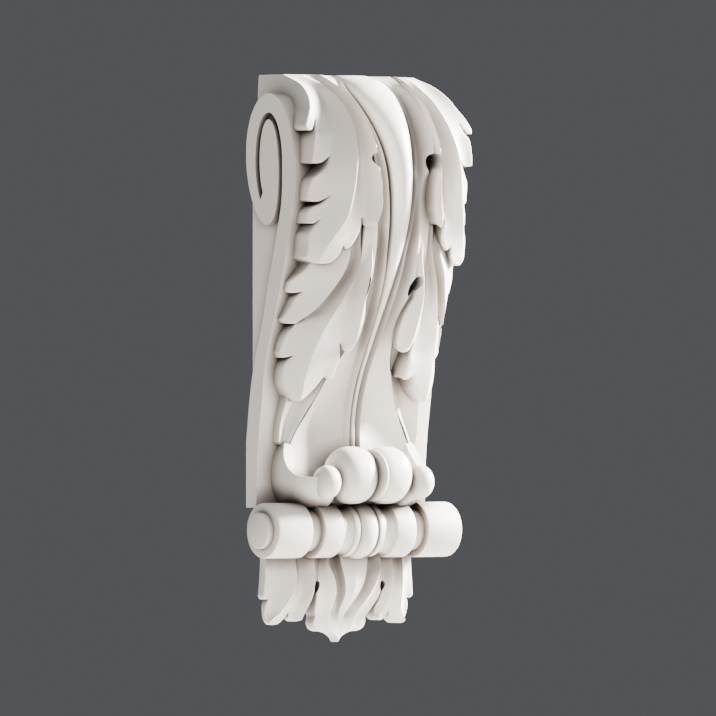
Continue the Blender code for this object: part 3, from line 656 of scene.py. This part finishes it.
def prism(name, outline, x_from, x_to):
    """Solid with the given outline (out, down) between two distances across."""
    outline = np.asarray(outline, float)
    n = len(outline)
    points = np.concatenate([place(x, outline[:, 0], outline[:, 1]) for x in (x_from, x_to)])
    faces = [list(range(n)), list(range(2 * n - 1, n - 1, -1))]
    faces += [[i, (i + 1) % n, (i + 1) % n + n, i + n] for i in range(n)]
    return make(name, points, faces)


def drill(name, edge, side, out_from, out_to):
    """Straight hole of the given front outline between two distances out."""
    outline = np.concatenate([curve(run, EDGE_SPACING) for run in edge])
    n = len(outline)
    points = np.concatenate([place(side * outline[:, 0], out, outline[:, 1])
                             for out in (out_from, out_to)])
    return make(name, points, [list(range(n))] + walls(range(n), n))


def volute(side_reach, tall_reach, first, last, count):
    """Spiral whose reach is eased from one quarter turn to the next; angles in degrees."""
    turn = np.linspace(first, last, count)
    a = smooth(turn, np.stack([180.0 * np.arange(len(side_reach)), side_reach], 1))
    b = smooth(turn, np.stack([90 + 180.0 * np.arange(len(tall_reach)), tall_reach], 1))
    angle = np.radians(turn)
    return np.stack([VOLUTE_CENTRE[0] + a * np.cos(angle),
                     VOLUTE_CENTRE[1] - b * np.sin(angle)], 1)


def ellipsoid(name, centre, reach, fullness=2.0, rings=41, facets=72):
    """Rounded body with a separate reach across, out and down: |x|^n + |r|^n = 1."""
    lat = np.linspace(0, np.pi, rings + 1)[:, None]
    lon = np.linspace(0, 2 * np.pi, facets, endpoint=False)[None]
    power = 2 / fullness
    along = np.sign(np.cos(lat)) * np.abs(np.cos(lat)) ** power
    round_ = np.sin(lat) ** power
    grid = place(centre[0] + reach[0] * along + 0 * lon,
                 centre[1] + reach[1] * round_ * np.cos(lon),
                 centre[2] + reach[2] * round_ * np.sin(lon))
    return make(name, grid, grid_faces(rings + 1, facets, close=True))


def turned(name, turning, half_length, radius, out, down, facets=128):
    """Solid of revolution along X, mirrored about the middle."""
    profile = np.array(turning)
    profile = np.concatenate([profile[:0:-1] * [-1, 1], profile]) * [half_length, radius]
    profile = np.concatenate([[[profile[0, 0], 0]], profile, [[profile[-1, 0], 0]]])
    angle = np.linspace(0, 2 * np.pi, facets, endpoint=False)[None]
    centre = place(0, out, down)
    grid = np.stack([profile[:, :1] + 0 * angle, centre[1] + profile[:, 1:] * np.cos(angle),
                     centre[2] + profile[:, 1:] * np.sin(angle)], -1)
    return make(name, grid, grid_faces(len(profile), facets, close=True))


def combine(target, other, operation="UNION"):
    """Boolean of two objects; the second is removed."""
    cut = target.modifiers.new(operation.lower(), "BOOLEAN")
    cut.operation = operation
    cut.object = other
    cut.solver = "MANIFOLD"
    evaluated = target.evaluated_get(bpy.context.evaluated_depsgraph_get())
    mesh = bpy.data.meshes.new_from_object(evaluated)
    target.modifiers.clear()
    old = target.data
    target.data = mesh
    bpy.data.meshes.remove(old)
    bpy.data.objects.remove(other, do_unlink=True)
    return target


def smoothed(body):
    """Shades a body smooth but for its sharp edges."""
    body.data.shade_smooth()
    body.data.set_sharp_from_angle(angle=np.radians(SHARP_ANGLE))
    return body


def merge(name, pieces):
    """One closed body from many, cut flat at the top and at the wall."""
    body = pieces[0]
    for piece in pieces[1:]:
        combine(body, piece)
    combine(body, block("above", ALL_ACROSS, (BEHIND_ALL, AHEAD_OF_ALL), (20, TOP_STEP)),
            "DIFFERENCE")
    combine(body, block("behind", ALL_ACROSS, (BEHIND_ALL, 0), (10, BELOW_ALL)), "DIFFERENCE")
    body.name = name
    body.data.name = name
    return smoothed(body)


def block(name, x, out, down):
    """Box from pairs of limits in steps."""
    corners = [[out[0], down[0]], [out[1], down[0]], [out[1], down[1]], [out[0], down[1]]]
    return prism(name, corners, x[0], x[1])


def finish_piece(obj, material):
    """Gives a piece its material and ties it to the frame."""
    obj.data.materials.clear()
    obj.data.materials.append(material)
    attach(obj, "root")
    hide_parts("corbel")


def body_outline(down_to):
    """Front of the ribbon from its foot up and over the top of the volute."""
    down = np.linspace(RIBBON_FRONT[0, 0], down_to, 60)[:0:-1]
    front = np.stack([smooth(down, RIBBON_FRONT), down], 1)
    return front, volute(EDGE_SIDE, EDGE_TALL, 0, 180, 60)


def side_pocket(name, side, core_half):
    """What is cut from a side: the spiral groove and the recess behind the ribbon."""
    groove = volute(GROOVE_SIDE, GROOVE_TALL, 0, GROOVE_END_TURN, 70)
    scroll = volute(EDGE_SIDE, EDGE_TALL, SCROLL_FROM_TURN, EDGE_END_TURN, 110)[::-1]
    down = np.linspace(RIBBON_BACK[0, 0], RIBBON_BACK[-1, 0], 60)[::-1]
    back = np.stack([smooth(down, RIBBON_BACK), down], 1)
    outline = np.concatenate([[[-9, RIBBON_BACK[-1, 0]]], back, groove, scroll,
                              [[-9, scroll[-1, 1]]]])
    return prism(name, outline, side * core_half, side * (STEPS_HALF_WIDE + 9))


def console():
    """S-shaped body over the full width, with its volutes and side recesses cut in."""
    core_half = STEPS_HALF_WIDE - bpy.context.scene.corbel_sizes.side_recess / scale()[0]
    front, over = body_outline(CONSOLE_FOOT)
    outline = np.concatenate([front, over, [CONSOLE_BACK, [CONSOLE_BACK[0], CONSOLE_FOOT]]])
    body = prism("console", outline, -STEPS_HALF_WIDE, STEPS_HALF_WIDE)
    for side in (-1, 1):
        combine(body, side_pocket("pocket", side, core_half), "DIFFERENCE")
    return merge("console", [body, block("foot", (-FOOT_BLOCK_HALF, FOOT_BLOCK_HALF),
                                         (HIDDEN_STEP, FOOT_BLOCK_FRONT), FOOT_BLOCK_DOWN)])


def curl():
    """Rolled tip of the leaf: a tub whose sides and front are |x/w|^4 + |y/d|^4 = 1 at each
    height, cut open along its rim and scooped out inside, with balls, hooks and a crescent."""
    down = np.linspace(CURL_TOP, CURL_FOOT, 55)[:, None]
    angle = np.radians(np.linspace(-90, 90, 120))[None]
    width, out = smooth(down, CURL_WIDTH), smooth(down, CURL_OUT)
    across = width * np.sign(np.sin(angle)) * np.abs(np.sin(angle)) ** 0.5
    corner = np.clip((np.abs(across / width) - CURL_FLAT_TO) / CURL_CORNER, 0, 1)
    stands = CURL_FLAT + (1 - CURL_FLAT) * corner**2 * (3 - 2 * corner)
    front = out * np.cos(angle).clip(0) ** 0.5 * stands
    tub = lump("tub", place(across, front, down), place(across, back_step(2), down))
    opening = np.concatenate([curve(CURL_RIM, 1.0), [CURL_RIM[-1]],
                              [[100, ABOVE_CURL], [-10, ABOVE_CURL]]])
    combine(tub, prism("opening", opening, -OPENING_HALF, OPENING_HALF), "DIFFERENCE")
    combine(tub, scoop(), "DIFFERENCE")
    pieces = [tub, ellipsoid("crescent", CRESCENT_CENTRE, CRESCENT_REACH, CRESCENT_FULLNESS)]
    for side in (-1, 1):
        pieces.append(ellipsoid("ball", (side * BALL_CENTRE[0], *BALL_CENTRE[1:]), BALL_REACH,
                                BALL_FULLNESS))
        pieces.append(ellipsoid("hook", (side * HOOK_CENTRE[0], *HOOK_CENTRE[1:]), HOOK_REACH,
                                HOOK_FULLNESS))
    return pieces


def scoop():
    """What is cut from the tub: from its rim down to a level floor with rounded sides."""
    run = curve(CURL_RIM, 1.5)
    s = np.linspace(-1, 1, 60)[:, None]
    half = smooth(run[:, 0], SCOOP_HALF)[None]
    rim = run[None, :, 1] - SCOOP_LIP
    down = rim + (SCOOP_FLOOR - rim) * (1 - s**8).clip(0) ** 0.5
    out = run[None, :, 0] + 0 * s
    return lump("scoop", place(s * half, out, down), place(s * half, out, ABOVE_CURL + 0 * down))


def leaf():
    """The acanthus leaf: its middle, three tiers of lobes on each side and the curled tip."""
    sides = (1, -1)
    pieces = curl()
    pieces += sheet("middle", middle_edge(), middle_surface, 3, MIDDLE_LINES[1:5],
                    fine_half=FINE_HALF)
    pieces += sheet("pocket", POCKET_EDGE, carved(LEAF_POCKET, POCKET_FLUTES), 4, POCKET_FLUTES,
                    sides, foot_share=POCKET_FOOT_SHARE)
    lower = sheet("lower", LOWER_EDGE, carved(LEAF_LOWER, LOWER_FLUTES), 6, LOWER_FLUTES,
                  sides, LOWER_THUMB_FROM)
    upper = sheet("upper", UPPER_EDGE, carved(LEAF_UPPER, UPPER_FLUTES), 8, UPPER_FLUTES,
                  sides, UPPER_THUMB_FROM)
    body = merge("leaf", pieces + lower + upper)
    combine(body, block("hidden", ALL_ACROSS, (BEHIND_ALL, HIDDEN_STEP),
                        (HIDDEN_FROM, BELOW_ALL)), "DIFFERENCE")
    for side in sides:
        combine(body, drill("eye", UPPER_EYE, side, EYE_FROM, UPPER_EYE_OUT - EYE_DEPTH),
                "DIFFERENCE")
        combine(body, drill("eye", LOWER_EYE, side, EYE_FROM, LOWER_EYE_OUT - EYE_DEPTH),
                "DIFFERENCE")
    return smoothed(body)


def mirrored(runs):
    """Outline from the runs of its right half: those, their mirror images and a closing run."""
    left = [[(-across, down) for across, down in run[::-1]] for run in runs[::-1]]
    return runs + left + [[left[-1][-1], runs[0][0]]]


def pendant():
    """The leaf that hangs below the roll."""
    middle = sheet("middle", mirrored(MIDDLE_HALF_EDGE), carved(PENDANT, MIDDLE_FLUTES), 1,
                   MIDDLE_FLUTES[1:], fine_half=FINE_HALF)
    body = merge("pendant", middle + sheet("pendant", PENDANT_EDGE,
                                           carved(PENDANT, PENDANT_FLUTES), 2, PENDANT_FLUTES,
                                           (1, -1)))
    for side in (1, -1):
        combine(body, drill("eye", PENDANT_EYE, side, *PENDANT_EYE_OUT), "DIFFERENCE")
    return smoothed(body)


def roll():
    """The turned roll with a raised disc at each end."""
    sizes = bpy.context.scene.corbel_sizes
    body = turned("roll", ROLL_TURNING, sizes.roll_length / 2, sizes.roll_diameter / 2,
                  ROLL_OUT_STEP, ROLL_STEP)
    discs = turned("discs", DISC_TURNING, sizes.roll_length / 2 + sizes.disc_length,
                   sizes.disc_diameter / 2, ROLL_OUT_STEP, ROLL_STEP)
    return merge("roll", [body, discs])


def linear(hex_colour):
    """sRGB hex colour as linear red, green, blue and alpha."""
    value = np.array([int(hex_colour[i:i + 2], 16) for i in (1, 3, 5)]) / 255
    value = np.where(value <= 0.04045, value / 12.92, ((value + 0.055) / 1.055) ** 2.4)
    return (*value.tolist(), 1.0)


def add_node(tree, kind, inputs=None, links=None, **settings):
    """Adds a node with its settings, input values and links {input: output socket}."""
    node = tree.nodes.new(kind)
    for name, value in settings.items():
        setattr(node, name, value)
    for name, value in (inputs or {}).items():
        node.inputs[name].default_value = value
    for name, socket in (links or {}).items():
        tree.links.new(socket, node.inputs[name])
    return node


def coated_plaster():
    """Cast gypsum plaster under a sprayed satin coat in warm white. The eye gets a soft, broad
    sheen, painted shade that darkens its hollows and creases, and a faint unevenness from the
    mould."""
    material = bpy.data.materials.new(PLASTER_NAME)
    material.use_nodes = True
    tree = material.node_tree
    shader = tree.nodes["Principled BSDF"]
    shader.inputs["Roughness"].default_value = 0.4
    shader.inputs["IOR"].default_value = 1.46
    where = add_node(tree, "ShaderNodeTexCoord").outputs["Object"]
    # Painted shade: ambient occlusion darkens the coat to grey brown in hollows and creases, and
    # to near black in the deepest
    hollow = add_node(tree, "ShaderNodeAmbientOcclusion", {"Distance": HOLLOW_REACH}, samples=12)
    sizes = bpy.context.scene.corbel_sizes
    painted_shade = add_node(tree, "ShaderNodeValToRGB", links={"Fac": hollow.outputs["AO"]})
    painted_shade.color_ramp.elements[0].position = 0.15
    painted_shade.color_ramp.elements[0].color = linear("#1c1815")
    painted_shade.color_ramp.elements[1].position = 0.96
    painted_shade.color_ramp.elements[1].color = (*sizes.coat, 1)
    middle = painted_shade.color_ramp.elements.new(0.58)
    middle.color = (*sizes.painted_shade, 1)
    cloud = add_node(tree, "ShaderNodeTexNoise", {"Scale": 38.0, "Detail": 3.0, "Roughness": 0.5},
                     {"Vector": where})
    tone = add_node(tree, "ShaderNodeMapRange", {"To Min": 0.97, "To Max": 1.03},
                    {"Value": cloud.outputs["Fac"]})
    colour = add_node(tree, "ShaderNodeVectorMath", {}, {0: painted_shade.outputs["Color"]},
                      operation="SCALE")
    tree.links.new(tone.outputs["Result"], colour.inputs["Scale"])
    tree.links.new(colour.outputs["Vector"], shader.inputs["Base Color"])
    peel = add_node(tree, "ShaderNodeTexNoise", {"Scale": 900.0, "Detail": 2.0}, {"Vector": where})
    bump = add_node(tree, "ShaderNodeBump", {"Strength": 0.05, "Distance": 0.0004},
                    {"Height": peel.outputs["Fac"]})
    tree.links.new(bump.outputs["Normal"], shader.inputs["Normal"])
    return material


def look_from(obj, place_at, target):
    """Points an object's -Z from one place at another, with its Y up."""
    obj.location = place_at
    obj.rotation_euler = (Vector(target) - Vector(place_at)).to_track_quat("-Z", "Y").to_euler()


def camera():
    """Long lens at the photograph's angle; one step at the wall is one pixel."""
    step = float(scale()[2])
    turn = np.radians(CAMERA_TURN)
    forward = np.array([np.sin(turn), np.cos(turn), 0])
    right = np.array([np.cos(turn), -np.sin(turn), 0])
    target = right * CAMERA_ACROSS * step + [0, 0, (MID_STEP - CAMERA_LOOK_STEP) * step]
    stand = target - forward * CAMERA_AWAY * step
    stand[2] = (MID_STEP - CAMERA_LEVEL_STEP) * step
    data = bpy.data.cameras.new("camera")
    data.lens = 36 * CAMERA_AWAY / IMAGE_STEPS
    data.clip_end = 50
    obj = bpy.data.objects.new("camera", data)
    bpy.context.collection.objects.link(obj)
    look_from(obj, stand, target)
    bpy.context.scene.camera = obj


def area_light(name, place_at, target, size, power, colour):
    """Square soft box."""
    data = bpy.data.lights.new(name, "AREA")
    data.size = size
    data.energy = power
    data.color = linear(colour)[:3]
    obj = bpy.data.objects.new(name, data)
    bpy.context.collection.objects.link(obj)
    look_from(obj, place_at, target)


def stage():
    """Pale floor below the corbel, camera, soft boxes and an even grey surround."""
    corners = [[x * FLOOR_HALF, y * FLOOR_HALF, FLOOR_LEVEL]
               for x, y in ((-1, -1), (1, -1), (1, 1), (-1, 1))]
    floor = make("floor", corners, [[0, 1, 2, 3]])
    material = bpy.data.materials.new("floor")
    material.use_nodes = True
    shader = material.node_tree.nodes["Principled BSDF"]
    shader.inputs["Base Color"].default_value = linear("#c4c2be")
    shader.inputs["Roughness"].default_value = 0.8
    floor.data.materials.append(material)
    camera()
    area_light("key", *KEY)
    area_light("fill", *FILL)
    world = bpy.data.worlds.new("surround")
    bpy.context.scene.world = world
    world.use_nodes = True
    background = world.node_tree.nodes["Background"]
    background.inputs["Color"].default_value = linear(SURROUND_COLOUR)
    background.inputs["Strength"].default_value = SURROUND_STRENGTH


LENGTH = {"unit": "LENGTH", "subtype": "DISTANCE"}
COLOUR = {"size": 3, "min": 0.0, "max": 1.0, "subtype": "COLOR"}


class CorbelSizes(bpy.types.PropertyGroup):
    """Sizes that a user would change."""
    height: bpy.props.FloatProperty(name="Height", description="From top to lowest tip",
                                    default=0.395, **LENGTH)
    body_width: bpy.props.FloatProperty(name="Body width", description="Across both volutes",
                                        default=0.147, **LENGTH)
    projection: bpy.props.FloatProperty(name="Projection", description="From wall to fullest leaf",
                                        default=0.0928, **LENGTH)
    side_recess: bpy.props.FloatProperty(name="Side recess", description="Depth of the groove",
                                         default=0.0057, **LENGTH)
    roll_diameter: bpy.props.FloatProperty(name="Roll diameter", description="At its bands",
                                           default=0.0385, **LENGTH)
    roll_length: bpy.props.FloatProperty(name="Roll length", description="Without end discs",
                                         default=0.1594, **LENGTH)
    disc_diameter: bpy.props.FloatProperty(name="End disc diameter", description="Raised disc",
                                           default=0.0252, **LENGTH)
    disc_length: bpy.props.FloatProperty(name="End disc length", description="How far it stands",
                                         default=0.0047, **LENGTH)
    coat: bpy.props.FloatVectorProperty(name="Coat", description="Colour of the satin coat",
                                        default=linear("#e8e3dd")[:3], **COLOUR)
    # Painted shade: the grey brown that hollows and creases are darkened to, not a colour the
    # plaster has
    painted_shade: bpy.props.FloatVectorProperty(name="Painted shade", description="Colour of the hollows",
                                        default=linear("#938b84")[:3], **COLOUR)


class AddPiece:
    """Builds one piece of the corbel and gives it the coat."""
    def execute(self, context):
        finish_piece(self.build(), plaster())
        return {"FINISHED"}


class CORBEL_OT_body(AddPiece, bpy.types.Operator):
    """Add the S-shaped body with its volutes"""
    bl_idname = "corbel.body"
    bl_label = "Add body"
    build = staticmethod(console)


class CORBEL_OT_leaf(AddPiece, bpy.types.Operator):
    """Add the acanthus leaf and its curled tip"""
    bl_idname = "corbel.leaf"
    bl_label = "Add leaf"
    build = staticmethod(leaf)


class CORBEL_OT_roll(AddPiece, bpy.types.Operator):
    """Add the turned roll"""
    bl_idname = "corbel.roll"
    bl_label = "Add roll"
    build = staticmethod(roll)


class CORBEL_OT_pendant(AddPiece, bpy.types.Operator):
    """Add the leaf below the roll"""
    bl_idname = "corbel.pendant"
    bl_label = "Add pendant"
    build = staticmethod(pendant)


class CORBEL_OT_stage(bpy.types.Operator):
    """Add the floor, the lights and the camera"""
    bl_idname = "corbel.stage"
    bl_label = "Add stage"

    def execute(self, context):
        stage()
        return {"FINISHED"}


class CORBEL_PT_panel(bpy.types.Panel):
    """Lists the corbel's sizes and its pieces"""
    bl_idname = "CORBEL_PT_panel"
    bl_label = "Corbel"
    bl_space_type = "VIEW_3D"
    bl_region_type = "UI"
    bl_category = "Corbel"

    def draw(self, context):
        sizes = context.scene.corbel_sizes
        for name in CorbelSizes.__annotations__:
            self.layout.prop(sizes, name)
        for operator in OPERATORS:
            self.layout.operator(operator.bl_idname)


OPERATORS = (CORBEL_OT_body, CORBEL_OT_leaf, CORBEL_OT_roll, CORBEL_OT_pendant, CORBEL_OT_stage)
CLASSES = (CorbelSizes, *OPERATORS, CORBEL_PT_panel)


def plaster():
    """The one coat that covers the whole casting, made once."""
    return bpy.data.materials.get(PLASTER_NAME) or coated_plaster()


def register():
    """Adds the operators, the panel and the sizes of the scene."""
    for cls in CLASSES:
        bpy.utils.register_class(cls)
    bpy.types.Scene.corbel_sizes = bpy.props.PointerProperty(type=CorbelSizes)


def unregister():
    """Takes them all out again."""
    del bpy.types.Scene.corbel_sizes
    for cls in reversed(CLASSES):
        bpy.utils.unregister_class(cls)


def main():
    """Builds every piece and the stage."""
    register()
    for operator in OPERATORS:
        group, name = operator.bl_idname.split(".")
        getattr(getattr(bpy.ops, group), name)()


if __name__ == "__main__":
    main()
